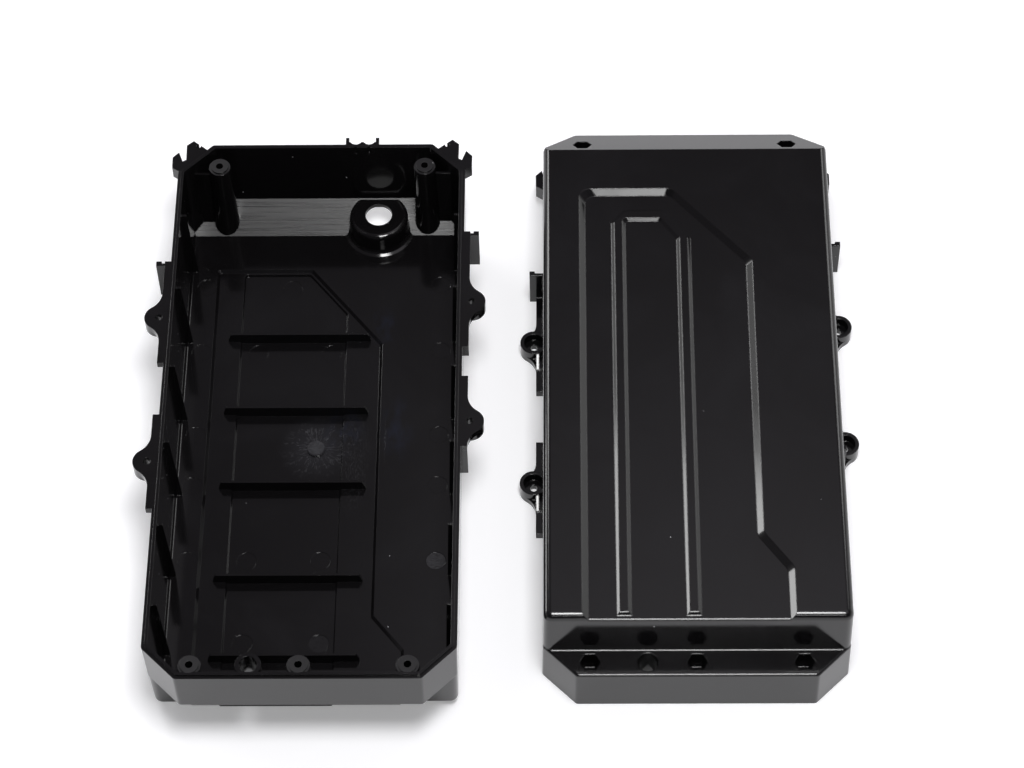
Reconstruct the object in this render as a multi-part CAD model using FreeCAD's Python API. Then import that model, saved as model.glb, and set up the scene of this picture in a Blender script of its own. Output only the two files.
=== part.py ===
import FreeCAD, Part
import math
import os
from FreeCAD import Matrix, Vector

# Two moulded halves of a battery box, an open base tray and its cover, laid side by side.
# Each half is drawn rim down: z = 0 is the parting plane and z grows towards the outer face,
# x runs across, and y runs from the front ledge to the sloped tail. Both halves share one plan.
# The base is mirrored in the parting plane at the end, so that it lies on its back, open side up.

# Driving dimensions, in millimetres and degrees
box_width = 146.0
box_length = 310.5
pad_height = 53.7
wall = 3.0
draft = 1.0
front_chamfer = 16.2
tail_chamfer = 16.9
corner_radius = 2.5

# Front ledge, raised platform and sloped tail
ledge_height = 26.3
ledge_depth = 14.7
front_lean = 1.5
nose_radius = 4.0
platform_radius = 3.5
tail_height = 42.0
tail_run = 19.3
edge_radius = 1.2
foot_radius = 0.9
inside_radius = 1.5

# Stepped panel on the platform, open to the front; corners as half widths and places along y
panel_left = 54.0
panel_top = 266.2
panel_top_right = -7.2
panel_right = 31.9
panel_shoulder = 222.0
panel_waist = 62.5
panel_foot_right = 45.6
panel_foot = 43.6
panel_corner_radius = 9.0
recess_depth = 2.5
brow_radius = 1.1
recess_slope = 2.8

# Low U-shaped rib standing on the cover's panel
band_left = 37.9
band_right = 1.6
band_top = 254.2
band_end = 18.6
band_width = 6.9
band_depth = 1.2
band_corner_radius = 3.0
band_slope = 1.4
band_left_cut = 6.6
band_right_cut = 15.2

# Stepped panel of the base, sunk inside and standing out underneath by the same amount
tray_left = 55.9
tray_top = 268.6
tray_top_right = -6.6
tray_right = 30.6
tray_shoulder = 222.0
step_depth = 1.2
step_slope = 1.45
step_margin = 0.9
tray_corner_radius = 2.0
bed_left = 41.8
bed_right = 12.2
bed_slope = 0.6

# Rim: a tongue on the base and the matching rabbet in the cover
tongue_width = 1.5
tongue_height = 1.2
tongue_clearance = 0.15

# Screw posts
post_inset = 7.8
front_post_x = 50.3
tail_post_x = 52.2
tail_post_inset = 13.2
post_diameter = 11.0
post_draft = 1.2
post_gap = 0.4
spigot_diameter = 8.7
spigot_height = 0.9
screw_hole = 3.6
hex_flats = 8.5
well_depth = 12.0
tail_well_floor = 38.0
well_boss_diameter = 13.6
head_well = 9.7
web = 1.3
tail_web_drop = 6.5

# Round sleeve through the ledge
sleeve_x = -23.2
sleeve_bore = 8.4
sleeve_diameter = 14.8
sleeve_top = 12.2

# Cable mound in the base's tail
mound_x = 27.1
mound_y = 294.6
mound_radius = 15.0
mound_level = 38.5
mound_back = 11.2
mound_spread = 1.2
seat_wall = 2.2
seat_back_wall = 1.2
cable_hole = 13.7
mound_round = 2.6
mound_flare = [(2.6, 0.0), (1.4, 0.35), (0.6, 1.0), (0.0, 2.4)]

# Ribs inside the base
floor_rib_places = [224.7, 180.1, 135.9, 82.7, 38.5]
floor_rib_left = -48.0
floor_rib_right = 24.6
floor_rib_height = 5.0
floor_rib_thickness = 1.3
floor_rib_lean = 1.6
side_rib_places = [268.0, 223.2, 176.1, 132.0, 85.2, 41.4]
side_rib_drop = 3.0
side_rib_depth = 2.3
side_rib_growth = 0.9
side_rib_thickness = 1.2

# Ejector marks and the sprue gate on the base's floor
ejector_diameter = 9.8
ejector_sink = 0.15
floor_ejectors = [(-60.8, 257.5), (59.6, 258.5), (60.2, 217.2), (-61.4, 216.8), (-61.4, 166.6),
                  (60.0, 166.4), (-61.2, 136.8), (60.2, 136.8), (-61.0, 93.4), (60.0, 93.2)]
bed_ejectors = [(-16.8, 258.0), (-32.6, 217.6), (4.8, 217.6), (-32.4, 94.6), (3.6, 94.8), (-32.2, 48.6),
                (4.6, 48.4)]
gate_place = (-1.0, 159.6)
gate_diameter = 9.2
gate_rise = 0.8

# Flanges with screw lugs along the sides
flange_reach = 3.1
flange_height = 3.8
lug_radius = 6.9
lug_blend = 10.3
lug_offset = 4.2
base_lug_height = 7.0
cover_lug_height = 8.4
lug_bore = 3.6
lug_counterbore = 10.0
lug_floor = 3.4
gusset_run = 14.0
left_flanges = [(175.8, 237.1, 203.0), (92.0, 145.6, 118.8)]
right_flanges = [(184.7, 254.9, 211.9), (127.0, 167.4, 141.1)]

# L-shaped hooks at the tail ends of the upper flanges and the blocks at the other ends
hook_thickness = 1.5
hook_lip = 2.7
base_hook_reach = 7.4
cover_hook_reach = 6.4
base_hook_height = 24.5
cover_hook_height = 22.8
left_hook_y = 234.4
right_hook_y = 252.2
stop_thickness = 2.2
stop_height = 8.0
end_face_height = 24.5

# Cable clips on the tail corners, as a plan from the corner of the box, and their heights
base_clip_low = 0.0
base_clip_high = 7.6
cover_clip_low = 8.2
cover_clip_high = 17.2
clip_dimple_x = -9.4
clip_dimple_y = -0.6
clip_dimple = 2.4
clip_dimple_depth = 2.5
clip_plan = [(-15.6, -4.0), (-13.3, -2.4), (-6.8, 2.8), (-3.4, -0.1), (-3.6, -9.3), (-1.8, -10.3),
             (0.3, -4.5), (3.4, -7.7), (3.3, -14.3), (-1.6, -17.6)]

# Saddle with two prongs at the back of the base
saddle_x = 20.2
saddle_width = 17.0
saddle_prong = 1.7
saddle_reach = 4.3
saddle_depth = 1.6
saddle_height = 9.0
saddle_notch = 1.8
saddle_notch_depth = 4.0

# How the two halves lie
halves_pitch = 184.7
cover_shift = 17.0

# Derived values
half_width = box_width / 2
slant = math.tan(math.radians(draft))
mitre = math.tan(math.radians(22.5))
post_slant = math.tan(math.radians(post_draft))
floor_level = pad_height - wall
bed_level = floor_level + 2 * step_depth
tail_post_y = box_length - tail_post_inset
front_posts = [(-front_post_x, post_inset), (0.0, post_inset), (front_post_x, post_inset)]
tail_posts = [(-tail_post_x, tail_post_y), (tail_post_x, tail_post_y)]
overshoot = 1.0


def face_of(points, z):
    """Flat face of a closed polygon at height z."""
    corners = [Vector(x, y, z) for x, y in points]
    return Part.Face(Part.makePolygon(corners + corners[:1]))


def prism(points, low, high):
    """Straight prism of a plan polygon between two heights."""
    return face_of(points, low).extrude(Vector(0, 0, high - low))


def frustum(bottom, low, top, high):
    """Solid between two plan polygons with parallel sides, one at each height."""
    faces = [face_of(bottom[::-1], low), face_of(top, high)]
    for i in range(len(bottom)):
        j = (i + 1) % len(bottom)
        ring = [Vector(*bottom[i], low), Vector(*bottom[j], low), Vector(*top[j], high),
                Vector(*top[i], high)]
        faces.append(Part.Face(Part.makePolygon(ring + ring[:1])))
    shell = Part.Shell(faces)
    shell.sewShape()
    return Part.Solid(shell)


def cylinder(x, y, low, high, radius, top_radius=None):
    """Upright cylinder, or a cone when the top radius differs."""
    place = Vector(x, y, low)
    if top_radius is None or abs(top_radius - radius) < 1e-6:
        return Part.makeCylinder(radius, high - low, place)
    return Part.makeCone(radius, top_radius, high - low, place)


def hexagon(x, y, flats, low, high):
    """Upright hexagonal prism with two corners on the x axis."""
    reach = flats / math.sqrt(3)
    corners = [(x + reach * math.cos(math.radians(60 * i)), y + reach * math.sin(math.radians(60 * i)))
               for i in range(6)]
    return prism(corners, low, high)


def inset_polygon(points, distance):
    """Move every side of an anticlockwise polygon inwards by the distance."""
    moved = []
    count = len(points)
    for i in range(count):
        before, here, after = points[i - 1], points[i], points[(i + 1) % count]
        lines = []
        for start, end in ((before, here), (here, after)):
            dx, dy = end[0] - start[0], end[1] - start[1]
            length = math.hypot(dx, dy)
            lines.append((start[0] - dy / length * distance, start[1] + dx / length * distance, dx, dy))
        (ax, ay, adx, ady), (bx, by, bdx, bdy) = lines
        cross = adx * bdy - ady * bdx
        t = ((bx - ax) * bdy - (by - ay) * bdx) / cross
        moved.append((ax + adx * t, ay + ady * t))
    return moved


def mirrored(points):
    """The same polygon on the other side of the centre line, still anticlockwise."""
    return [(-x, y) for x, y in reversed(points)]


def side_slab(points, low_x, high_x):
    """Prism along x of a polygon given as (y, z) pairs."""
    corners = [Vector(low_x, y, z) for y, z in points]
    return Part.Face(Part.makePolygon(corners + corners[:1])).extrude(Vector(high_x - low_x, 0, 0))


def rim_plan(inset):
    """Plan of the rim with its four chamfered corners, moved in by the inset."""
    shift = inset * mitre
    side = half_width - inset
    front, back = front_chamfer + shift, box_length - tail_chamfer - shift
    front_x, back_x = half_width - front_chamfer - shift, half_width - tail_chamfer - shift
    low, high = inset, box_length - inset
    return [(-front_x, low), (front_x, low), (side, front), (side, back),
            (back_x, high), (-back_x, high), (-side, back), (-side, front)]


def platform_plan(inset, front):
    """Plan of the raised platform: square at the front, chamfered at the tail."""
    rim = rim_plan(inset)
    side = half_width - inset
    return [(-side, front), (side, front)] + rim[3:7]


def platform_front(z):
    """Place along y of the platform's leaning front face at a height."""
    return ledge_depth + front_lean * (z - ledge_height) / (pad_height - ledge_height)


def tail_cutter(inset):
    """Block that takes off everything above the sloped tail face."""
    start = Vector(0, box_length - tail_run, pad_height)
    end = Vector(0, box_length - tail_height * slant, tail_height)
    along = (end - start).normalize()
    normal = Vector(0, -along.z, along.y)
    reach = tail_run + wall * 4
    low, high = start - along * reach - normal * inset, end + along * reach - normal * inset
    far = normal * pad_height
    ring = [low, high, high + far, low + far]
    return side_slab([(p.y, p.z) for p in ring], -box_width, box_width)


def upright_edges(shape, keep, steep=0.8):
    """Edges that rise through the shape, chosen by a test on their middle point."""
    chosen = []
    for edge in shape.Edges:
        first, last = edge.Vertexes[0].Point, edge.Vertexes[-1].Point
        middle = (first + last) * 0.5
        if abs(first.z - last.z) > steep * edge.Length and keep(middle):
            chosen.append(edge)
    return chosen


def level_edges(shape, z, keep):
    """Edges that lie at one height, chosen by a test on their middle point."""
    chosen = []
    for edge in shape.Edges:
        box = edge.BoundBox
        if abs(box.ZMin - z) < 0.01 and abs(box.ZMax - z) < 0.01 and keep(box.Center):
            chosen.append(edge)
    return chosen


def rounded(shape, radius, edges):
    """Round the edges, with a smaller radius where the full one doesn't fit."""
    for share in (1.0, 0.8, 0.6, 0.4):
        try:
            done = shape.makeFillet(radius * share, edges)
            if done.isValid() and done.Solids:
                return done
        except (Part.OCCError, ValueError):
            continue
    print("left sharp:", radius, [tuple(round(v, 1) for v in edge.BoundBox.Center) for edge in edges])
    return shape


def shell_form(inset, rim_level):
    """Solid of one half's form, moved in by the inset, from the rim level to its crown."""
    crown = pad_height - inset
    tier_top = ledge_height - inset
    overlap = tier_top - edge_radius * 2
    round_out = corner_radius if inset == 0 else inside_radius
    nose = nose_radius if inset == 0 else inside_radius
    tier = frustum(rim_plan(inset + rim_level * slant), rim_level, rim_plan(inset + tier_top * slant),
                   tier_top)
    tier = rounded(tier, round_out, upright_edges(tier, lambda p: True))
    if inset == 0:
        tier = rounded(tier, edge_radius, level_edges(tier, tier_top, lambda p: True))
    platform = frustum(platform_plan(inset + overlap * slant, platform_front(overlap) + inset), overlap,
                       platform_plan(inset + crown * slant, platform_front(crown) + inset), crown)
    crown_radius = platform_radius if inset == 0 else inside_radius * 0.8
    platform = rounded(platform, nose, upright_edges(platform, lambda p: p.y < box_length / 2))
    platform = rounded(platform, crown_radius,
                       level_edges(platform, crown, lambda p: p.y < box_length - tail_run * 1.5))
    platform = platform.cut(tail_cutter(inset))
    platform = rounded(platform, round_out, upright_edges(platform, lambda p: p.y > box_length / 2))
    form = tier.fuse(platform).removeSplitter()
    if inset == 0:
        foot = [edge for edge in level_edges(form, ledge_height, lambda p: abs(p.y - ledge_depth) < 0.5)
                if edge.Length > half_width]
        form = rounded(form, foot_radius, foot)
    return form


def open_plan(corners, inset, front):
    """Plan of the corners, moved in by the inset but always reaching the front place."""
    plan = [(corners[-1][0], 0.0), (corners[0][0], 0.0)] + corners
    moved = inset_polygon(plan, inset)
    return [(moved[0][0], front), (moved[1][0], front)] + moved[2:]


def panel_plan(inset, front):
    """Plan of the cover's recessed panel."""
    corners = [(panel_foot_right, panel_foot), (panel_right, panel_waist), (panel_right, panel_shoulder),
               (panel_top_right, panel_top), (-panel_left, panel_top)]
    return open_plan(corners, inset, front)


def tray_plan(inset, front):
    """Plan of the base's stepped panel."""
    corners = [(panel_foot_right, panel_foot), (tray_right, panel_waist), (tray_right, tray_shoulder),
               (tray_top_right, tray_top), (-tray_left, tray_top)]
    return open_plan(corners, inset, front)


def bed_plan(inset, front):
    """Plan of the lower middle part of the base's panel."""
    top = tray_top - step_slope - step_margin
    slope = (tray_top - tray_shoulder) / (tray_right - tray_top_right)
    drop = (step_slope + step_margin) * math.hypot(1.0, slope)
    corner_y = tray_top - slope * (bed_right - tray_top_right) - drop
    top_x = bed_right - (top - corner_y) / slope
    corners = [(bed_right, corner_y), (top_x, top), (-bed_left, top)]
    return open_plan(corners, inset, front)


def band_plan(inset):
    """Plan of the U-shaped rib: two legs joined at the top, with cut corners."""
    left, right = -band_left, band_right
    plan = [(left, band_end), (left + band_width, band_end), (left + band_width, band_top - band_width),
            (right - band_right_cut, band_top - band_width), (right - band_width, band_top - band_right_cut
             - band_width * 0.45), (right - band_width, band_end), (right, band_end),
            (right, band_top - band_right_cut - 2.2), (right - band_right_cut + 1.6, band_top),
            (left + band_left_cut, band_top), (left, band_top - band_left_cut - 1.0)]
    return inset_polygon(plan, inset)


def round_corners(block, radius, keep):
    """The block with the corners between its sloping sides rounded one by one."""
    for corner in [edge.BoundBox.Center for edge in upright_edges(block, keep, 0.2)]:
        edges = [edge for edge in block.Edges if edge.BoundBox.Center.distanceToPoint(corner) < 0.01]
        block = rounded(block, radius, edges)
    return block


def panel_block(inset_low, low, inset_high, high, plan, front, radius):
    """Solid panel between two heights with sloping sides and rounded corners."""
    block = frustum(plan(inset_low, front), low, plan(inset_high, front), high)
    return round_corners(block, radius, lambda p: p.y > panel_foot / 2)


def flange(side, start, end, lug_y, lug_height):
    """Flange along one side at the parting plane with its screw lug."""
    inner = half_width - wall / 2
    edge = half_width + flange_reach
    centre = half_width + lug_offset
    spread = math.sqrt((lug_blend + lug_radius) ** 2 - (edge + lug_blend - centre) ** 2)
    touch = lug_radius / (lug_radius + lug_blend)
    touch_x = centre + (edge + lug_blend - centre) * touch
    strip = prism([(inner, start), (edge, start), (edge, end), (inner, end)], 0.0, flange_height)
    bend = []
    for way in (-1, 1):
        hub = Vector(edge + lug_blend, lug_y + way * spread, 0)
        first = Vector(edge, lug_y + way * spread, 0)
        last = Vector(touch_x, lug_y + way * spread * touch, 0)
        middle = hub + ((first + last) * 0.5 - hub).normalize() * lug_blend
        bend.append((first, middle, last))
    (a, am, at), (b, bm, bt) = bend
    tip = Vector(centre + lug_radius, lug_y, 0)
    back_a, back_b = Vector(inner, a.y, 0), Vector(inner, b.y, 0)
    edges = [Part.makeLine(back_a, a), Part.Arc(a, am, at).toShape(), Part.Arc(at, tip, bt).toShape(),
             Part.Arc(bt, bm, b).toShape(), Part.makeLine(b, back_b), Part.makeLine(back_b, back_a)]
    face = Part.Face(Part.Wire(edges))
    blend = face.extrude(Vector(0, 0, flange_height))
    hub = cylinder(centre, lug_y, 0.0, lug_height, lug_radius)
    inside = prism([(0, lug_y - lug_radius), (inner, lug_y - lug_radius), (inner, lug_y + lug_radius),
                    (0, lug_y + lug_radius)], -1.0, lug_height + 1)
    whole = strip.fuse([blend, hub.cut(inside)])
    return whole if side > 0 else whole.mirror(Vector(0, 0, 0), Vector(1, 0, 0))


def gusset(side, lug_y):
    """Thin sloping rib from the lug's crown down to the flange, on the front side."""
    low_x, high_x = half_width + flange_reach - 1.6, half_width + flange_reach
    outline = [(lug_y - gusset_run, flange_height - 1), (lug_y - 1, flange_height - 1),
               (lug_y - 1, cover_lug_height), (lug_y - lug_radius + 1.5, cover_lug_height),
               (lug_y - gusset_run, flange_height + 0.6)]
    rib = side_slab(outline, low_x, high_x)
    filler = side_slab([(lug_y - gusset_run, flange_height - 1), (lug_y - 1, flange_height - 1),
                        (lug_y - 1, flange_height + 0.6), (lug_y - gusset_run, flange_height + 0.6)],
                       half_width - wall / 2, high_x)
    whole = rib.fuse(filler)
    return whole if side > 0 else whole.mirror(Vector(0, 0, 0), Vector(1, 0, 0))


def hook(side, place, height, reach):
    """Upright L-shaped hook standing out from the side wall."""
    inner, outer = half_width - wall / 2, half_width + reach
    plan = [(inner, place), (outer, place), (outer, place + hook_lip), (outer - hook_lip, place + hook_lip),
            (outer - hook_lip, place + hook_thickness), (inner, place + hook_thickness)]
    whole = prism(plan, 0.0, height)
    return whole if side > 0 else whole.mirror(Vector(0, 0, 0), Vector(1, 0, 0))


def side_block(side, place, thickness, height):
    """Block that closes the end of a flange."""
    inner, outer = half_width - wall / 2, half_width + flange_reach
    whole = prism([(inner, place), (outer, place), (outer, place + thickness), (inner, place + thickness)],
                  0.0, height)
    return whole if side > 0 else whole.mirror(Vector(0, 0, 0), Vector(1, 0, 0))


def clip(side, low, high):
    """Cable clip on a tail corner, with a dimple in the prong's end face."""
    plan = [(half_width + x, box_length + y) for x, y in clip_plan]
    block = prism(plan[::-1], low, high)
    x, y = half_width + clip_dimple_x, box_length + clip_dimple_y
    block = block.cut(cylinder(x, y, low - 1, low + clip_dimple_depth, clip_dimple / 2))
    return block if side > 0 else block.mirror(Vector(0, 0, 0), Vector(1, 0, 0))


def outside(lug_height, clip_low, clip_high, hook_height, hook_reach, with_gussets):
    """All that stands out from the sides and the tail, common to both halves."""
    parts = []
    for side, places in ((-1, left_flanges), (1, right_flanges)):
        for start, end, lug_y in places:
            parts.append(flange(side, start, end, lug_y, lug_height))
            if with_gussets:
                parts.append(gusset(side, lug_y))
        parts.append(clip(side, clip_low, clip_high))
    parts.append(hook(-1, left_hook_y, hook_height, hook_reach))
    parts.append(hook(1, right_hook_y, hook_height, hook_reach))
    parts.append(side_block(1, right_flanges[0][0], stop_thickness, stop_height))
    parts.append(side_block(1, right_flanges[1][0], stop_thickness, end_face_height))
    return parts


def lug_places():
    """Centres of the four screw lugs."""
    places = [(-half_width - lug_offset, lug_y) for start, end, lug_y in left_flanges]
    return places + [(half_width + lug_offset, lug_y) for start, end, lug_y in right_flanges]


def tapered_post(x, y, high):
    """Screw post that widens away from the parting plane."""
    radius = post_diameter / 2
    low = post_gap + spigot_height
    post = cylinder(x, y, low, high, radius, radius + (high - low) * post_slant)
    return post.fuse(cylinder(x, y, post_gap, low + 1, spigot_diameter / 2))


def posts():
    """Screw posts and the sleeve, to be left standing in the hollow of either half."""
    parts = [tapered_post(x, y, ledge_height - 1) for x, y in front_posts]
    parts.append(cylinder(sleeve_x, post_inset, post_gap, ledge_height - 1, sleeve_top / 2,
                          sleeve_diameter / 2))
    for x, y in tail_posts:
        parts.append(tapered_post(x, y, pad_height))
        way = 1 if x > 0 else -1
        reach = half_width - post_inset
        parts.append(prism([(x - web / 2, y), (x + web / 2, y), (x + web / 2, box_length),
                            (x - web / 2, box_length)], tail_web_drop, pad_height))
        xs = sorted((x, way * reach))
        parts.append(prism([(xs[0], y - web / 2), (xs[1], y - web / 2), (xs[1], y + web / 2),
                            (xs[0], y + web / 2)], tail_web_drop, pad_height))
    return parts


def fuse_all(parts):
    """One shape of many."""
    return parts[0].fuse(parts[1:]) if len(parts) > 1 else parts[0]


def side_rib(side, place):
    """Low upright rib on the inside of a side wall."""
    inner = half_width - wall / 2
    low, high = side_rib_drop, floor_level + 1
    near = half_width - wall - low * slant - side_rib_depth
    far = half_width - wall - high * slant - side_rib_depth - side_rib_growth
    corners = [Vector(inner, place - side_rib_thickness / 2, low),
               Vector(near, place - side_rib_thickness / 2, low),
               Vector(far, place - side_rib_thickness / 2, high),
               Vector(inner, place - side_rib_thickness / 2, high)]
    rib = Part.Face(Part.makePolygon(corners + corners[:1])).extrude(Vector(0, side_rib_thickness, 0))
    return rib if side > 0 else rib.mirror(Vector(0, 0, 0), Vector(1, 0, 0))


def floor_rib(place):
    """Low cross rib on the base's floor with leaning ends."""
    low, high = floor_level - floor_rib_height, pad_height - 0.5
    y = place - floor_rib_thickness / 2
    corners = [Vector(floor_rib_left + floor_rib_lean, y, low),
               Vector(floor_rib_right - floor_rib_lean, y, low),
               Vector(floor_rib_right, y, floor_level), Vector(floor_rib_right, y, high),
               Vector(floor_rib_left, y, high), Vector(floor_rib_left, y, floor_level)]
    return Part.Face(Part.makePolygon(corners + corners[:1])).extrude(Vector(0, floor_rib_thickness, 0))


def mound(thickness, back_thickness, level):
    """Cable mound or, moved in by its wall, the pocket behind it; flat on its tail side."""
    radius = mound_radius - thickness
    reach = mound_back - back_thickness
    core = cylinder(mound_x, mound_y, level, pad_height + 4, radius, radius + mound_spread)
    wide = mound_radius * 2
    keep = prism([(mound_x - wide, mound_y - wide), (mound_x + wide, mound_y - wide),
                  (mound_x + wide, mound_y + reach), (mound_x - wide, mound_y + reach)],
                 level - 1, pad_height + 6)
    core = core.common(keep)
    if thickness > 0:
        return core
    slant_out = mound_spread / (pad_height + 4 - level)
    skirts = []
    for (high, out), (low, more) in zip(mound_flare, mound_flare[1:]):
        start, end = floor_level - high, floor_level - low
        skirts.append(cylinder(mound_x, mound_y, start, end, radius + (start - level) * slant_out + out,
                               radius + (end - level) * slant_out + more))
    top = rounded(core, mound_round, level_edges(core, level, lambda p: True))
    return top.fuse([skirt.common(keep) for skirt in skirts]).removeSplitter()


def saddle():
    """Two prongs with a shallow double saddle between them, on the base's back wall."""
    left, right = saddle_x - saddle_width / 2, saddle_x + saddle_width / 2
    wall_y = box_length - wall / 2
    block = prism([(left, wall_y), (right, wall_y), (right, box_length + saddle_reach),
                   (left, box_length + saddle_reach)], 0.0, saddle_height)
    gap = saddle_width - 2 * saddle_prong
    radius = gap / 4
    hollow = prism([(left + saddle_prong, box_length + saddle_depth),
                    (right - saddle_prong, box_length + saddle_depth),
                    (right - saddle_prong, box_length + saddle_reach + 1),
                    (left + saddle_prong, box_length + saddle_reach + 1)], -1.0, saddle_height + 1)
    cuts = [hollow]
    for way in (-1, 1):
        cuts.append(cylinder(saddle_x + way * radius, box_length + saddle_depth + radius * 0.55, -1.0,
                             saddle_height + 1, radius))
    return block.cut(fuse_all(cuts))


def rounded_rim(inset, low, high):
    """Upright block of the rim's plan with rounded corners."""
    block = prism(rim_plan(inset), low, high)
    return rounded(block, corner_radius, upright_edges(block, lambda p: True))


def brow_cut(level):
    """Profile, as y and z, of what a rounding takes off the platform's front edge at this level."""
    low = level - brow_radius
    centre = platform_front(low) + brow_radius
    turns = [math.radians(180 - 18 * step) for step in range(6)]
    arc = [(centre + brow_radius * math.cos(turn), low + brow_radius * math.sin(turn)) for turn in turns]
    return [(centre, level + 1), (centre - brow_radius - 1, level + 1),
            (centre - brow_radius - 1, low)] + arc


def make_base():
    """Open tray with tongue, stepped floor, ribs, posts, cable mound, lugs, hooks and clips."""
    front = platform_front(pad_height)
    outer = shell_form(0.0, 0.0)
    rise = pad_height + step_depth
    solids = [rounded_rim(wall - tongue_width, -tongue_height, 1.0)]
    solids.append(panel_block(-step_slope, pad_height - step_depth, step_slope, rise, tray_plan, front,
                              tray_corner_radius))
    solids.append(panel_block(-bed_slope, rise - step_depth, bed_slope, rise + step_depth, bed_plan, front,
                              tray_corner_radius))
    solids += outside(base_lug_height, base_clip_low, base_clip_high, base_hook_height, base_hook_reach,
                      False)
    solids.append(saddle())
    outer = outer.fuse(solids)
    inner_front = front + wall
    low = floor_level
    hollow = shell_form(wall, -tongue_height - 1)
    pockets = [panel_block(-step_slope, low - step_depth, step_slope, low + step_depth, tray_plan,
                           inner_front, tray_corner_radius)]
    pockets.append(panel_block(-bed_slope, low, bed_slope, low + 2 * step_depth, bed_plan, inner_front,
                               tray_corner_radius))
    for x, y in floor_ejectors:
        pockets.append(cylinder(x, y, low - 1, low + ejector_sink, ejector_diameter / 2))
    for x, y in bed_ejectors:
        pockets.append(cylinder(x, y, bed_level - 1, bed_level + ejector_sink, ejector_diameter / 2))
    hollow = hollow.fuse(pockets)
    standing = posts()
    standing += [floor_rib(y) for y in floor_rib_places]
    standing += [side_rib(side, y) for side in (-1, 1) for y in side_rib_places]
    standing.append(mound(0.0, 0.0, mound_level))
    standing.append(cylinder(*gate_place, bed_level - gate_rise, pad_height, gate_diameter / 2))
    hollow = hollow.cut(fuse_all(standing))
    body = outer.cut(hollow)
    holes = [mound(seat_wall, seat_back_wall, mound_level + seat_wall)]
    holes.append(cylinder(mound_x, mound_y, mound_level - 1, mound_level + seat_wall + 0.2, cable_hole / 2))
    for x, y in front_posts + tail_posts:
        holes.append(cylinder(x, y, -1.0, ledge_height - wall, screw_hole / 2))
    holes.append(cylinder(sleeve_x, post_inset, -1.0, ledge_height + 1, sleeve_bore / 2))
    for x, y in lug_places():
        holes.append(cylinder(x, y, -1.0, base_lug_height + 1, lug_bore / 2))
    for way in (-1, 1):
        place = saddle_x + way * (saddle_width - 2 * saddle_prong) / 4
        holes.append(cylinder(place, box_length - wall, -tongue_height - 1, saddle_notch_depth,
                              saddle_notch / 2))
    return body.cut(holes)


def make_cover():
    """Cover with rabbet, recessed panel, U-shaped rib, nut wells, lugs, hooks and clips."""
    front = ledge_depth / 2
    panel_level = pad_height - recess_depth
    outer = shell_form(0.0, 0.0)
    recess = panel_block(recess_slope, panel_level, -recess_slope, pad_height + recess_depth, panel_plan,
                         front, panel_corner_radius)
    outer = outer.cut(recess)
    outer = outer.cut(side_slab(brow_cut(panel_level), recess_slope - panel_left,
                                panel_foot_right - recess_slope))
    band = frustum(band_plan(-band_slope), panel_level - band_depth, band_plan(band_slope),
                   panel_level + band_depth)
    band = round_corners(band, band_corner_radius, lambda p: p.y > panel_shoulder)
    outer = outer.fuse(band)
    outer = outer.fuse(outside(cover_lug_height, cover_clip_low, cover_clip_high, cover_hook_height,
                               cover_hook_reach, True))
    hollow = shell_form(wall, -1.0)
    plinth_front = platform_front(pad_height)
    plinth = panel_block(-wall / 2, panel_level - wall, -wall / 2, pad_height, panel_plan, plinth_front,
                         tray_corner_radius)
    boss_foot = ledge_height - well_depth - wall / 2
    bosses = [cylinder(x, y, boss_foot, ledge_height - 1, well_boss_diameter / 2) for x, y in front_posts]
    hollow = hollow.cut(fuse_all(posts() + bosses + [plinth]))
    body = outer.cut(hollow)
    rabbet = rounded_rim(wall - tongue_width - tongue_clearance, -1.0, tongue_height + tongue_clearance)
    core = rounded_rim(wall + edge_radius, -2.0, tongue_height + 1)
    holes = [rabbet.cut(core)]
    for x, y in front_posts:
        holes.append(hexagon(x, y, hex_flats, ledge_height - well_depth, ledge_height + 1))
        holes.append(cylinder(x, y, -1.0, ledge_height, screw_hole / 2))
    for x, y in tail_posts:
        holes.append(hexagon(x, y, hex_flats, tail_well_floor, pad_height + 1))
        holes.append(cylinder(x, y, -1.0, pad_height, screw_hole / 2))
    holes.append(cylinder(sleeve_x, post_inset, -1.0, ledge_height + 1, sleeve_bore / 2, head_well / 2))
    for x, y in lug_places():
        holes.append(cylinder(x, y, -1.0, cover_lug_height, lug_bore / 2))
        holes.append(cylinder(x, y, lug_floor, cover_lug_height + 1, lug_counterbore / 2))
    return body.cut(holes)


def plan_box(shape):
    """Reach of a shape across and along, from its corner points."""
    points = shape.tessellate(0.05)[0]
    xs, ys = [p.x for p in points], [p.y for p in points]
    return min(xs), max(xs), min(ys), max(ys)


os.makedirs("parts", exist_ok=True)
base = make_base()
cover = make_cover()
base = base.mirror(Vector(0, 0, 0), Vector(0, 0, 1))
base.translate(Vector(-halves_pitch / 2, -cover_shift / 2 - box_length / 2, pad_height + 2 * step_depth))
cover.translate(Vector(halves_pitch / 2, cover_shift / 2 - box_length / 2, 0))
reach_x = [plan_box(shape) for shape in (base, cover)]
low_x, high_x = min(r[0] for r in reach_x), max(r[1] for r in reach_x)
low_y, high_y = min(r[2] for r in reach_x), max(r[3] for r in reach_x)
shift = Vector(-(low_x + high_x) / 2, -(low_y + high_y) / 2, 0)
for name, shape in (("base_shell", base), ("cover_shell", cover)):
    shape.translate(shift)
    solid = shape.Solids[0]
    print(name, shape.isValid(), len(shape.Solids), round(solid.Volume), len(solid.Faces), solid.BoundBox)
    solid.exportStep(f"parts/{name}.step")
print("shift", shift)
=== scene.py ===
"""Looks of a battery box: two gloss black ABS mouldings, base and cover, lying open on a white table."""

import math

import bpy
from bpy.props import FloatProperty, FloatVectorProperty, PointerProperty, StringProperty
from bpy.types import Operator, Panel, PropertyGroup
from mathutils import Matrix, Vector

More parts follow.
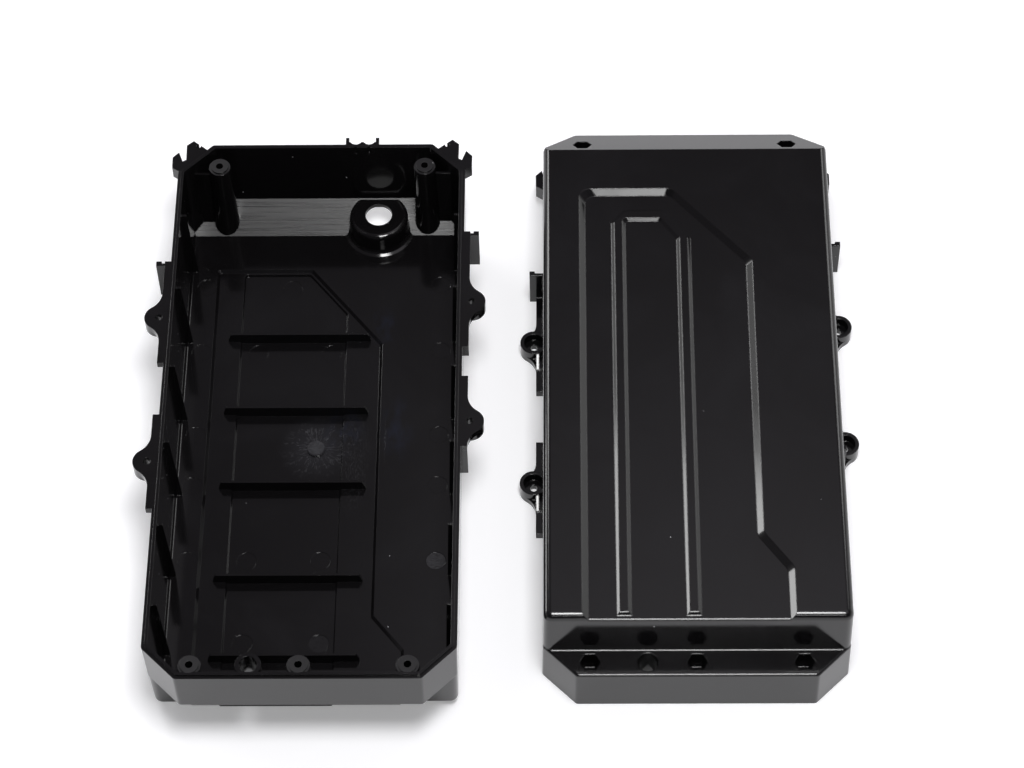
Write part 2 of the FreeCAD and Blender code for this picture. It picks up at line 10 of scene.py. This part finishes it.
bl_info = {
    "name": "Battery box looks",
    "version": (1, 0, 0),
    "blender": (4, 5, 0),
    "location": "3D View > Sidebar > Battery Box",
    "description": "Finishes, table, lamps and camera for the two halves of a battery box",
    "category": "Material",
}

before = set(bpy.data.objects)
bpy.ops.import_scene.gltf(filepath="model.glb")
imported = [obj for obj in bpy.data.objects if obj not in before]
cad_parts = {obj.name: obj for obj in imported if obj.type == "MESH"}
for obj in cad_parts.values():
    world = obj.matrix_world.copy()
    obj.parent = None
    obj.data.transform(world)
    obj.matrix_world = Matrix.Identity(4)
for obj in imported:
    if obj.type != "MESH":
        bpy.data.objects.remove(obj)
MM = 0.001
PLAIN_WHITE = "#FFFFFF"

# Skin of the moulding: sink of the thick places, grain, and rounded edges
SINK_WIDTH = 0.06
SINK_DEPTH = 0.4 * MM
SINK_STRENGTH = 0.08
GRAIN_DEPTH = 0.01 * MM
GRAIN_STRENGTH = 0.03
EDGE_SAMPLES = 4
REFRACTION = 1.54

# Wiped places: their width, and how far roughness and colour wander there
WIPED_WIDTH = 0.07
SMOOTHER = 0.02
ROUGHER = 0.04
PALEST = 0.1

# Dust: share of the cells without a speck, and the largest radius as a share of the spacing
CLEAN_SHARE = 0.72
SPECK_RADIUS = 0.05

# Marks on the base's floor in millimetres: middle, half width across and along or radius, strength; the
# first table and two of the lanes are painted light, as noted below
# Painted bluish sheen: soft patches of reflection on the floor, as middle, half width across and along
PAINTED_SHEEN_PATCHES = (((-61.0, 66.0), 9.0, 16.0), ((-53.0, 6.0), 11.0, 26.0), ((-80.0, 3.0), 14.0, 18.0))
# Lanes: real scuffs; a painted glint along the tray's right edge, partly scuffs; a painted highlight along
# the bed's right edge
SCUFFS_AND_PAINTED_GLINTS = (
    ((-74.0, -12.0), 10.0, 45.0, 0.3),
    ((-59.0, -2.0), 0.8, 15.0, 1.0),
    ((-80.2, 30.0), 0.5, 75.0, 1.0),
)
PALE_DISCS = (
    ((-93.35, -5.15), 4.3, 0.55),
    ((-32.35, -71.95), 4.9, 0.5),
    ((-87.75, -116.75), 4.9, 0.1),
)
# Strength of the painted bluish sheen, and of the haze round the gate
SHEEN_STRENGTH = 0.6
HAZE_STRENGTH = 0.35

# Size of the patches that break those marks up, across, along and upward
SHEEN_PATCH = (5 * MM, 8 * MM, 8 * MM)
RAY_PATCH = (3.5 * MM, 3.5 * MM, 3.5 * MM)
SCUFF_PATCH = (0.5 * MM, 2.2 * MM, 5.0 * MM)
DISC_PATCH = (2 * MM, 1 * MM, 2 * MM)

# Rays round the gate: how fine they are by direction, and how they waver
RAY_SPREAD = (0.06, 0.06, 0.06)
WAVER_WIDTH = 0.006
WAVER = (0.35, 0.35, 0.0)

# Upward share of the normal on level tops and on the sloped tail
LEVEL = (0.95, 1.1)
SLOPING = (0.3, 0.97)

# Frosted tops, and the filed slope with its fine lines
FROSTED_ROUGHNESS = 0.34
FILED_ROUGHNESS = (0.22, 0.36)
FILED_PATCH = (40.0 * MM, 1.0 * MM, 1.0 * MM)
FILED_STRENGTH = 0.3
FILED_DEPTH = 0.03 * MM
SLOPE_FADE = 1.0 * MM

# Table: half its width, and the distances between which it fades to plain white
TABLE_HALF = 8.0
TABLE_FADE = (0.45, 1.2)

# Room: where each part fades in, by the upward, sideways or lengthways share of a direction
CEILING_RISE = (0.13, 0.5)
GLOW_RISE = (0.78, 0.92)
GLOW_ASIDE = (-0.1, 0.04)
CURTAIN_FRONT = (0.05, 0.45)
CURTAIN_RISE = (0.1, 0.18)
CURTAIN_TOP = (0.04, 0.16)
BACK_WALL_REAR = (0.7, 0.92)
BACK_WALL_RISE = (0.005, 0.02)

# Lamps: name, place, aim, width, depth and power
BOX_MIDDLE = (0, 0, 0.05)
LAMPS = (
    ("overhead lamp", (0.11, -0.32, 1.5), (0.11, -0.32, 0.0), 0.4, 0.5, 15.0),
    ("low left lamp", (-1.42, 0.68, 0.3), BOX_MIDDLE, 0.45, 0.5, 4.5),
    ("back left lamp", (-0.75, 1.0, 1.05), BOX_MIDDLE, 0.45, 0.45, 4.4),
    ("back right lamp", (0.95, 0.9, 0.95), BOX_MIDDLE, 0.5, 0.5, 2.4),
    ("front lamp", (0.17, -1.26, 1.33), (0.09, 0.05, 0.05), 0.3, 0.2, 1.5),
)
SENSOR_WIDTH = 36.0


class MouldingSettings(PropertyGroup):
    """Finish of the black ABS that both halves are moulded in."""

    plastic: StringProperty(
        name="Plastic",
        description="Colour of the black ABS, as sRGB hex",
        default="#0E0D0E",
    )
    blush: StringProperty(
        name="Flow marks",
        description="Paler colour where the melt left flow marks, as sRGB hex",
        default="#303034",
    )
    # Also the colour of the painted glints along the tray's and the bed's right edges
    scuff_and_glint: StringProperty(
        name="Scuffs and painted glints",
        description="Colour of hair-fine scuffs and of the pale pin marks, as sRGB hex",
        default="#4A4A4D",
    )
    frosted: StringProperty(
        name="Frosted tops",
        description="Colour of the spark-eroded tops of the screw posts, as sRGB hex",
        default="#121113",
    )
    # Painted bluish sheen: the colour of reflection painted in soft patches on the base's floor
    sheen: StringProperty(
        name="Painted blue sheen",
        description="Faint blue colour of the painted bluish sheen on the floor, as sRGB hex",
        default="#1B2030",
    )
    dust: StringProperty(
        name="Dust",
        description="Colour of the lint and dust specks, as sRGB hex",
        default="#B9B9BD",
    )
    roughness: FloatProperty(
        name="Roughness",
        description="Roughness of the surface as it leaves the polished mould",
        default=0.1,
        min=0.05,
        max=0.8,
        subtype="FACTOR",
    )
    grain: FloatProperty(
        name="Grain size",
        description="Width of the fine unevenness of the moulded skin",
        default=0.9 * MM,
        min=0.0001,
        max=0.01,
        subtype="DISTANCE",
        unit="LENGTH",
    )
    edge: FloatProperty(
        name="Edge radius",
        description="Small radius that the edges of the cover carry",
        default=0.75 * MM,
        min=0.0,
        max=0.002,
        subtype="DISTANCE",
        unit="LENGTH",
    )
    inner_edge: FloatProperty(
        name="Inner edge radius",
        description="Small radius that the edges of the open base carry",
        default=0.25 * MM,
        min=0.0,
        max=0.002,
        subtype="DISTANCE",
        unit="LENGTH",
    )
    speck_spacing: FloatProperty(
        name="Speck spacing",
        description="Distance between the dust specks",
        default=9.0 * MM,
        min=0.002,
        max=0.1,
        subtype="DISTANCE",
        unit="LENGTH",
    )


class FlowMarkSettings(PropertyGroup):
    """Places on the base's floor that keep marks of the moulding."""

    gate: FloatVectorProperty(
        name="Gate",
        description="Where the melt entered the base's floor",
        default=(-93.35 * MM, -5.15 * MM, 0.0),
        size=3,
        subtype="TRANSLATION",
        unit="LENGTH",
    )
    reach: FloatProperty(
        name="Reach",
        description="How far the pale marks run out from the gate",
        default=21.0 * MM,
        min=0.005,
        max=0.2,
        subtype="DISTANCE",
        unit="LENGTH",
    )
    base_middle: FloatProperty(
        name="Base middle",
        description="Place of the base's middle line across the frame",
        default=-92.35 * MM,
        subtype="DISTANCE",
        unit="LENGTH",
    )
    front_posts: FloatVectorProperty(
        name="Front posts",
        description="Outer front screw post: aside of the middle line, and along the frame",
        default=(50.3 * MM, -157.35 * MM),
        size=2,
        unit="LENGTH",
    )
    tail_posts: FloatVectorProperty(
        name="Tail posts",
        description="Tail screw post: aside of the middle line, and along the frame",
        default=(52.2 * MM, 132.15 * MM),
        size=2,
        unit="LENGTH",
    )
    post_radius: FloatProperty(
        name="Post radius",
        description="Radius of the frosted top of a screw post",
        default=5.4 * MM,
        subtype="DISTANCE",
        unit="LENGTH",
    )
    post_height: FloatProperty(
        name="Post height",
        description="Height above which a post's top lies",
        default=25.0 * MM,
        subtype="DISTANCE",
        unit="LENGTH",
    )
    slope_start: FloatProperty(
        name="Slope start",
        description="Place along the frame where the sloped tail begins inside the base",
        default=117.0 * MM,
        subtype="DISTANCE",
        unit="LENGTH",
    )
    floor_top: FloatProperty(
        name="Floor top",
        description="Height under which the floor's marks are drawn",
        default=9.0 * MM,
        min=0.0,
        max=0.1,
        subtype="DISTANCE",
        unit="LENGTH",
    )


class StageSettings(PropertyGroup):
    """Table, room and camera."""

    table: StringProperty(
        name="Table",
        description="Colour of the matt white table, as sRGB hex",
        default="#F4F4F6",
    )
    table_lift: FloatProperty(
        name="Table lift",
        description="Whiteness that the eye adds to the table, where 1 alone is white",
        default=0.26,
        min=0.0,
        max=1.0,
        subtype="FACTOR",
    )
    walls: StringProperty(
        name="Walls",
        description="Colour of the studio walls at the horizon, as sRGB hex",
        default="#FFFFFF",
    )
    ceiling: StringProperty(
        name="Ceiling",
        description="Colour of the studio ceiling, as sRGB hex",
        default="#5F5C61",
    )
    glow: StringProperty(
        name="Ceiling glow",
        description="Colour of the ceiling round its lamp, as sRGB hex",
        default="#DAD6DC",
    )
    curtains: StringProperty(
        name="Curtains",
        description="Colour of the dark side of the room in front of the box, as sRGB hex",
        default="#3C3C40",
    )
    back_wall: StringProperty(
        name="Back wall",
        description="Colour of the grey wall behind the box, as sRGB hex",
        default="#66656A",
    )
    camera_place: FloatVectorProperty(
        name="Camera",
        description="Where the camera stands",
        default=(30.858 * MM, -894.314 * MM, 1374.195 * MM),
        size=3,
        subtype="TRANSLATION",
        unit="LENGTH",
    )
    camera_down: FloatProperty(
        name="Down",
        description="How far the camera looks down",
        default=math.radians(55.9136),
        subtype="ANGLE",
        unit="ROTATION",
    )
    camera_turn: FloatProperty(
        name="Turn",
        description="How far the camera turns to the left",
        default=math.radians(1.655),
        subtype="ANGLE",
        unit="ROTATION",
    )
    camera_roll: FloatProperty(
        name="Roll",
        description="How far the camera leans to the right",
        default=math.radians(1.6119),
        subtype="ANGLE",
        unit="ROTATION",
    )
    camera_lens: FloatProperty(
        name="Lens",
        description="Focal length in millimetres on a sensor 36 mm wide",
        default=115.33,
        min=10.0,
        max=400.0,
    )


def linear(text):
    """sRGB hex as linear red, green, blue and alpha."""
    parts = [int(text[i:i + 2], 16) / 255 for i in (1, 3, 5)]
    return [c / 12.92 if c <= 0.04045 else ((c + 0.055) / 1.055) ** 2.4 for c in parts] + [1.0]


def add(tree, kind, inputs=None, **settings):
    """One node with its settings; each input takes a value or the socket that feeds it."""
    made = tree.nodes.new(kind)
    for name, value in settings.items():
        setattr(made, name, value)
    for key, value in (inputs or {}).items():
        if isinstance(value, bpy.types.NodeSocket):
            tree.links.new(value, made.inputs[key])
        else:
            made.inputs[key].default_value = value
    return made


def fresh_material(name):
    """Empty material with its output, as (material, tree, output)."""
    material = bpy.data.materials.new(name)
    material.use_nodes = True
    tree = material.node_tree
    tree.nodes.clear()
    return material, tree, tree.nodes.new("ShaderNodeOutputMaterial")


def dress(node_name, material):
    """Puts the material in every slot of a solid."""
    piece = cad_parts.get(node_name)
    if piece is None:
        raise RuntimeError(f"the frame has no solid named {node_name}")
    piece.data.materials.clear()
    piece.data.materials.append(material)
    return piece


def maths(tree, operation, first, second):
    """Value of one sum on two values."""
    return add(tree, "ShaderNodeMath", {0: first, 1: second}, operation=operation).outputs["Value"]


def vectors(tree, operation, first, second):
    """Vector of one sum on two vectors."""
    return add(tree, "ShaderNodeVectorMath", {0: first, 1: second}, operation=operation).outputs["Vector"]


def share(tree, vector, axis):
    """One axis of a vector."""
    return add(tree, "ShaderNodeSeparateXYZ", {"Vector": vector}).outputs[axis]


def times(tree, *factors):
    """Product of the factors."""
    product = factors[0]
    for factor in factors[1:]:
        product = maths(tree, "MULTIPLY", product, factor)
    return product


def ranged(tree, value, start, end, low=0.0, high=1.0, **settings):
    """Turns the way from start to end into the way from low to high."""
    return add(tree, "ShaderNodeMapRange", {
        "Value": value, "From Min": start, "From Max": end, "To Min": low, "To Max": high,
    }, **settings).outputs["Result"]


def ease(tree, value, start, end):
    """0 below the start, 1 above the end, and smooth between them."""
    return ranged(tree, value, start, end, interpolation_type="SMOOTHSTEP")


def blend(tree, value, factor, other):
    """The value, turned to the other one by the factor."""
    return add(tree, "ShaderNodeMix", {"Factor": factor, "A": value, "B": other}).outputs["Result"]


def tint(tree, colour, factor, other):
    """The colour, turned to the other one by the factor."""
    return add(tree, "ShaderNodeMix", {
        "Factor": factor, "A": colour, "B": linear(other),
    }, data_type="RGBA").outputs["Result"]


def bump(tree, normal, height, strength, depth):
    """The normal, bent by a height."""
    return add(tree, "ShaderNodeBump", {
        "Strength": strength, "Distance": depth, "Height": height, "Normal": normal,
    }).outputs["Normal"]


def spot(tree, place, middle, across, along, core):
    """Soft flat oval round the middle: 1 inside the core's share of its half widths, 0 at its edge."""
    aside = vectors(tree, "SUBTRACT", place, middle)
    scaled = vectors(tree, "MULTIPLY", aside, (1 / across, 1 / along, 0.0))
    away = add(tree, "ShaderNodeVectorMath", {0: scaled}, operation="LENGTH").outputs["Value"]
    return ranged(tree, away, core, 1.0, 1.0, 0.0, interpolation_type="SMOOTHSTEP")


def floor_spot(tree, place, middle, across, along, core):
    """Spot on the base's floor, with its middle and half widths in millimetres."""
    return spot(tree, place, (middle[0] * MM, middle[1] * MM, 0.0), across * MM, along * MM, core)


def clouds(tree, place, size, low, high, detail=4.0):
    """Cloudy factor whose patches are as wide as the size, stretched where the three sizes differ."""
    scaled = vectors(tree, "MULTIPLY", place, tuple(1 / width for width in size))
    noise = add(tree, "ShaderNodeTexNoise", {
        "Vector": scaled, "Scale": 1.0, "Detail": detail, "Roughness": 0.6,
    })
    return ranged(tree, noise.outputs["Fac"], low, high)


def moulded_abs(name, look, edge, marks):
    """Black ABS, injection moulded in a polished steel mould.

    It gives the eye a deep black that mirrors the white room softly, thin bright lines along every
    rounded edge, and a skin that is a little uneven, so that the reflections are never quite clean.
    """
    material, tree, output = fresh_material(name)
    place = add(tree, "ShaderNodeTexCoord").outputs["Object"]

    # Skin: slow sink of the thick places, and the grain, drawn coarser than it is so that it shows
    sink = add(tree, "ShaderNodeTexNoise", {"Vector": place, "Scale": 1 / SINK_WIDTH, "Detail": 1.0})
    grain = add(tree, "ShaderNodeTexNoise", {"Vector": place, "Scale": 1 / look.grain, "Detail": 3.0})
    rounded = add(tree, "ShaderNodeBevel", {"Radius": edge}, samples=EDGE_SAMPLES).outputs["Normal"]
    skin = bump(tree, rounded, sink.outputs["Fac"], SINK_STRENGTH, SINK_DEPTH)
    skin = bump(tree, skin, grain.outputs["Fac"], GRAIN_STRENGTH, GRAIN_DEPTH)

    # Roughness and colour wander where the mould was handled and wiped
    wiped = add(tree, "ShaderNodeTexNoise", {
        "Vector": place, "Scale": 1 / WIPED_WIDTH, "Detail": 5.0, "Roughness": 0.6, "Distortion": 0.8,
    }).outputs["Fac"]
    gloss = ranged(tree, wiped, 0.3, 0.7, look.roughness - SMOOTHER, look.roughness + ROUGHER)
    paler = ranged(tree, wiped, 0.45, 0.8, 0.0, PALEST)
    colour = tint(tree, linear(look.plastic), paler, look.blush)

    if marks is not None:
        # Flow marks and pin marks, with painted light on the floor: a bluish sheen and glints along two
        # edges
        colour = floor_marks_and_painted_light(tree, place, colour, look, marks)
        colour, gloss = spark_eroded_tops(tree, place, colour, gloss, look, marks)
        gloss, skin = drawn_slope(tree, place, gloss, skin, marks)

    # Dust: a speck in about a quarter of the cells, up to a tenth of their spacing across (0.9 mm),
    # which is larger than real dust so that it shows
    cells = add(tree, "ShaderNodeTexVoronoi", {
        "Vector": place, "Scale": 1 / look.speck_spacing, "Randomness": 1.0,
    }).outputs
    chance = add(tree, "ShaderNodeSeparateColor", {"Color": cells["Color"]}).outputs["Red"]
    radius = ranged(tree, chance, CLEAN_SHARE, 1.0, 0.0, SPECK_RADIUS)
    colour = tint(tree, colour, maths(tree, "LESS_THAN", cells["Distance"], radius), look.dust)

    shader = add(tree, "ShaderNodeBsdfPrincipled", {
        "Base Color": colour, "Roughness": gloss, "IOR": REFRACTION, "Normal": skin,
    })
    tree.links.new(shader.outputs["BSDF"], output.inputs["Surface"])
    return material


def floor_marks_and_painted_light(tree, place, colour, look, marks):
    """Gate disc, ejector marks, rays round the gate and scuffs, with painted light: a bluish sheen and
    glints along two edges, all on the floor only.
    """
    on_floor = maths(tree, "LESS_THAN", share(tree, place, "Z"), marks.floor_top)

    # Painted bluish sheen: soft bluish patches of reflection painted into the floor's colour
    sheen_clouds = clouds(tree, place, SHEEN_PATCH, 0.4, 0.75)
    for middle, across, along in PAINTED_SHEEN_PATCHES:
        sheen_patch = floor_spot(tree, place, middle, across, along, 0.1)
        colour = tint(tree, colour, times(tree, sheen_patch, sheen_clouds, SHEEN_STRENGTH, on_floor), look.sheen)

    # Haze and hair-fine rays that the melt left as it spread from the gate
    flat = vectors(tree, "MULTIPLY", vectors(tree, "SUBTRACT", place, marks.gate), (1.0, 1.0, 0.0))
    course = add(tree, "ShaderNodeVectorMath", {0: flat}, operation="NORMALIZE").outputs["Vector"]
    bent = add(tree, "ShaderNodeTexNoise", {"Vector": place, "Scale": 1 / WAVER_WIDTH, "Detail": 2.0})
    wavy = vectors(tree, "ADD", course, vectors(tree, "MULTIPLY", bent.outputs["Color"], WAVER))
    hair = clouds(tree, wavy, RAY_SPREAD, 0.5, 0.7, 2.0)
    broken = clouds(tree, place, RAY_PATCH, 0.42, 0.6, 2.0)
    near_gate = spot(tree, place, marks.gate, marks.reach, marks.reach, 0.2)
    colour = tint(tree, colour, times(tree, near_gate, HAZE_STRENGTH, on_floor), look.blush)
    colour = tint(tree, colour, times(tree, near_gate, hair, broken, on_floor), look.scuff_and_glint)

    # Real scuffs along the tray's right side, and painted highlights in the scuff colour: glints along the
    # tray's right edge and a bright line along the bed's right edge
    hairs = clouds(tree, place, SCUFF_PATCH, 0.5, 0.72)
    for middle, across, along, strength in SCUFFS_AND_PAINTED_GLINTS:
        lane = floor_spot(tree, place, middle, across, along, 0.2)
        colour = tint(tree, colour, times(tree, lane, hairs, strength, on_floor), look.scuff_and_glint)

    # Gate disc and the ejector pins that left a pale face
    worn = clouds(tree, place, DISC_PATCH, 0.2, 0.65)
    for middle, radius, strength in PALE_DISCS:
        disc = floor_spot(tree, place, middle, radius, radius, 0.92)
        colour = tint(tree, colour, times(tree, disc, worn, strength, on_floor), look.scuff_and_glint)
    return colour


def facing(tree, low, high):
    """1 where the surface's upward share of its normal lies between the two values."""
    up = share(tree, add(tree, "ShaderNodeTexCoord").outputs["Normal"], "Z")
    return times(tree, maths(tree, "GREATER_THAN", up, low), maths(tree, "LESS_THAN", up, high))


def spark_eroded_tops(tree, place, colour, gloss, look, marks):
    """Screw posts end in spark-eroded steel: their tops come out frosted, duller than the walls."""
    raised = maths(tree, "GREATER_THAN", share(tree, place, "Z"), marks.post_height)
    raised = times(tree, raised, facing(tree, *LEVEL))
    for side in (-1.0, 0.0, 1.0):
        posts = [(side * marks.front_posts[0], marks.front_posts[1])]
        if side:
            posts.append((side * marks.tail_posts[0], marks.tail_posts[1]))
        for across, along in posts:
            middle = (marks.base_middle + across, along, 0.0)
            top = times(tree, spot(tree, place, middle, marks.post_radius, marks.post_radius, 0.96), raised)
            colour = tint(tree, colour, top, look.frosted)
            gloss = blend(tree, gloss, top, FROSTED_ROUGHNESS)
    return colour, gloss


def drawn_slope(tree, place, gloss, skin, marks):
    """Fine lines across the sloped tail, left by the file that finished this face of the mould."""
    behind = ease(tree, share(tree, place, "Y"), marks.slope_start, marks.slope_start + SLOPE_FADE)
    slope = times(tree, behind, facing(tree, *SLOPING))
    filed = clouds(tree, place, FILED_PATCH, 0.3, 0.7, 2.0)
    gloss = blend(tree, gloss, slope, ranged(tree, filed, 0.0, 1.0, *FILED_ROUGHNESS))
    skin = bump(tree, skin, filed, times(tree, slope, FILED_STRENGTH), FILED_DEPTH)
    return gloss, skin


def matt_table(stage):
    """Matt white laminate under soft light: nearly white, with the soft shade under the box.

    The eye and the mirroring black see it a little lifted, and far from the box it fades to plain white.
    """
    material, tree, output = fresh_material("matt white laminate")
    seen = add(tree, "ShaderNodeLightPath").outputs
    mirrored = maths(tree, "ADD", seen["Is Glossy Ray"], seen["Is Transmission Ray"])
    from_box = add(tree, "ShaderNodeVectorMath", {
        0: add(tree, "ShaderNodeTexCoord").outputs["Object"],
    }, operation="LENGTH").outputs["Value"]
    fading = ranged(tree, from_box, *TABLE_FADE, stage.table_lift, 1.0)
    plainly = times(tree, seen["Is Camera Ray"], fading)
    lift = maths(tree, "ADD", plainly, times(tree, mirrored, stage.table_lift))
    matt = add(tree, "ShaderNodeBsdfDiffuse", {"Color": linear(stage.table), "Roughness": 0.0})
    glow = add(tree, "ShaderNodeEmission", {"Color": linear(PLAIN_WHITE), "Strength": lift})
    both = add(tree, "ShaderNodeAddShader", {0: matt.outputs["BSDF"], 1: glow.outputs["Emission"]})
    tree.links.new(both.outputs["Shader"], output.inputs["Surface"])
    return material


def lay_table(stage):
    """A table much larger than the box, with the box standing on it."""
    half = TABLE_HALF
    corners = [(-half, -half, 0), (half, -half, 0), (half, half, 0), (-half, half, 0)]
    mesh = bpy.data.meshes.new("table")
    mesh.from_pydata(corners, [], [(0, 1, 2, 3)])
    mesh.materials.append(matt_table(stage))
    table = bpy.data.objects.new("table", mesh)
    bpy.context.scene.collection.objects.link(table)


def hang_lamp(name, place, aim, width, depth, power):
    """One softbox: its lit side faces the aim."""
    data = bpy.data.lights.new(name, "AREA")
    data.shape = "RECTANGLE"
    data.size = width
    data.size_y = depth
    data.energy = power
    lamp = bpy.data.objects.new(name, data)
    lamp.location = place
    lamp.rotation_euler = (Vector(aim) - Vector(place)).to_track_quat("-Z", "Y").to_euler()
    bpy.context.scene.collection.objects.link(lamp)


def light_room(stage):
    """A pale room: white side walls, a grey wall behind and dark curtains in front.

    Its ceiling glows round its lamp, and the eye sees plain white past the table.
    """
    world = bpy.data.worlds.new("pale room")
    bpy.context.scene.world = world
    world.use_nodes = True
    tree = world.node_tree
    tree.nodes.clear()
    toward = add(tree, "ShaderNodeTexCoord").outputs["Generated"]
    way = add(tree, "ShaderNodeSeparateXYZ", {"Vector": toward}).outputs
    rise = way["Z"]
    colour = tint(tree, linear(stage.walls), ease(tree, rise, *CEILING_RISE), stage.ceiling)
    glowing = times(tree, ease(tree, rise, *GLOW_RISE), ease(tree, way["X"], *GLOW_ASIDE))
    colour = tint(tree, colour, glowing, stage.glow)
    front = ease(tree, maths(tree, "MULTIPLY", way["Y"], -1.0), *CURTAIN_FRONT)
    under = ease(tree, maths(tree, "SUBTRACT", 1.0, rise), *CURTAIN_TOP)
    hung = times(tree, front, ease(tree, rise, *CURTAIN_RISE), under)
    colour = tint(tree, colour, hung, stage.curtains)
    behind = times(tree, ease(tree, way["Y"], *BACK_WALL_REAR), ease(tree, rise, *BACK_WALL_RISE))
    colour = tint(tree, colour, behind, stage.back_wall)
    seen = add(tree, "ShaderNodeLightPath").outputs["Is Camera Ray"]
    plain = tint(tree, colour, seen, PLAIN_WHITE)
    back = add(tree, "ShaderNodeBackground", {"Color": plain, "Strength": 1.0})
    add(tree, "ShaderNodeOutputWorld", {"Surface": back.outputs["Background"]})


def stand_camera(stage):
    """The camera of the picture: it looks down, leans to the right and turns to the left."""
    down, roll, turn = stage.camera_down, stage.camera_roll, stage.camera_turn
    ahead = Vector((0.0, math.cos(down), -math.sin(down)))
    right = Vector((1.0, 0.0, 0.0))
    below = Vector((0.0, -math.sin(down), -math.cos(down)))
    leaned_right = right * math.cos(roll) + below * math.sin(roll)
    leaned_below = below * math.cos(roll) - right * math.sin(roll)
    turned = Matrix.Rotation(turn, 3, "Z")
    axes = [turned @ v for v in (leaned_right, -leaned_below, -ahead)]
    data = bpy.data.cameras.new("camera")
    data.sensor_fit = "HORIZONTAL"
    data.sensor_width = SENSOR_WIDTH
    data.lens = stage.camera_lens
    data.clip_start = 0.05
    data.clip_end = 50.0
    camera = bpy.data.objects.new("camera", data)
    rotation = Matrix((axes[0], axes[1], axes[2])).transposed()
    camera.matrix_world = Matrix.Translation(stage.camera_place) @ rotation.to_4x4()
    bpy.context.scene.collection.objects.link(camera)
    bpy.context.scene.camera = camera


class BATTERYBOX_OT_base(Operator):
    """Finish the base, the half that lies with its tray up"""

    bl_idname = "batterybox.base"
    bl_label = "Finish the base"

    def execute(self, context):
        look = context.scene.battery_moulding
        marks = context.scene.battery_marks
        dress("base_shell", moulded_abs("black ABS base", look, look.inner_edge, marks))
        return {"FINISHED"}


class BATTERYBOX_OT_cover(Operator):
    """Finish the cover, the half that lies with its panels up"""

    bl_idname = "batterybox.cover"
    bl_label = "Finish the cover"

    def execute(self, context):
        look = context.scene.battery_moulding
        dress("cover_shell", moulded_abs("black ABS cover", look, look.edge, None))
        return {"FINISHED"}


class BATTERYBOX_OT_stage(Operator):
    """Set the table, the lamps, the pale room and the camera"""

    bl_idname = "batterybox.stage"
    bl_label = "Set the stage"

    def execute(self, context):
        stage = context.scene.battery_stage
        lay_table(stage)
        light_room(stage)
        for lamp in LAMPS:
            hang_lamp(*lamp)
        stand_camera(stage)
        context.scene.view_settings.view_transform = "Standard"
        return {"FINISHED"}


class BATTERYBOX_PT_looks(Panel):
    """Steps that build the looks of the battery box, with their values."""

    bl_idname = "BATTERYBOX_PT_looks"
    bl_label = "Battery Box"
    bl_space_type = "VIEW_3D"
    bl_region_type = "UI"
    bl_category = "Battery Box"

    def draw(self, context):
        for name in ("battery_moulding", "battery_marks", "battery_stage"):
            group = getattr(context.scene, name)
            box = self.layout.box()
            for key in group.__annotations__:
                box.prop(group, key)
        for step in STEPS:
            self.layout.operator(step.bl_idname)


STEPS = (BATTERYBOX_OT_base, BATTERYBOX_OT_cover, BATTERYBOX_OT_stage)
GROUPS = {
    "battery_moulding": MouldingSettings,
    "battery_marks": FlowMarkSettings,
    "battery_stage": StageSettings,
}


def register():
    for kind in (*GROUPS.values(), *STEPS, BATTERYBOX_PT_looks):
        bpy.utils.register_class(kind)
    for name, kind in GROUPS.items():
        setattr(bpy.types.Scene, name, PointerProperty(type=kind))


def unregister():
    for name in GROUPS:
        delattr(bpy.types.Scene, name)
    for kind in (BATTERYBOX_PT_looks, *reversed(STEPS), *GROUPS.values()):
        bpy.utils.unregister_class(kind)


def main():
    """Dresses both halves and sets the stage."""
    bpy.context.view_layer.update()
    register()
    bpy.ops.batterybox.base()
    bpy.ops.batterybox.cover()
    bpy.ops.batterybox.stage()


if __name__ == "__main__":
    main()
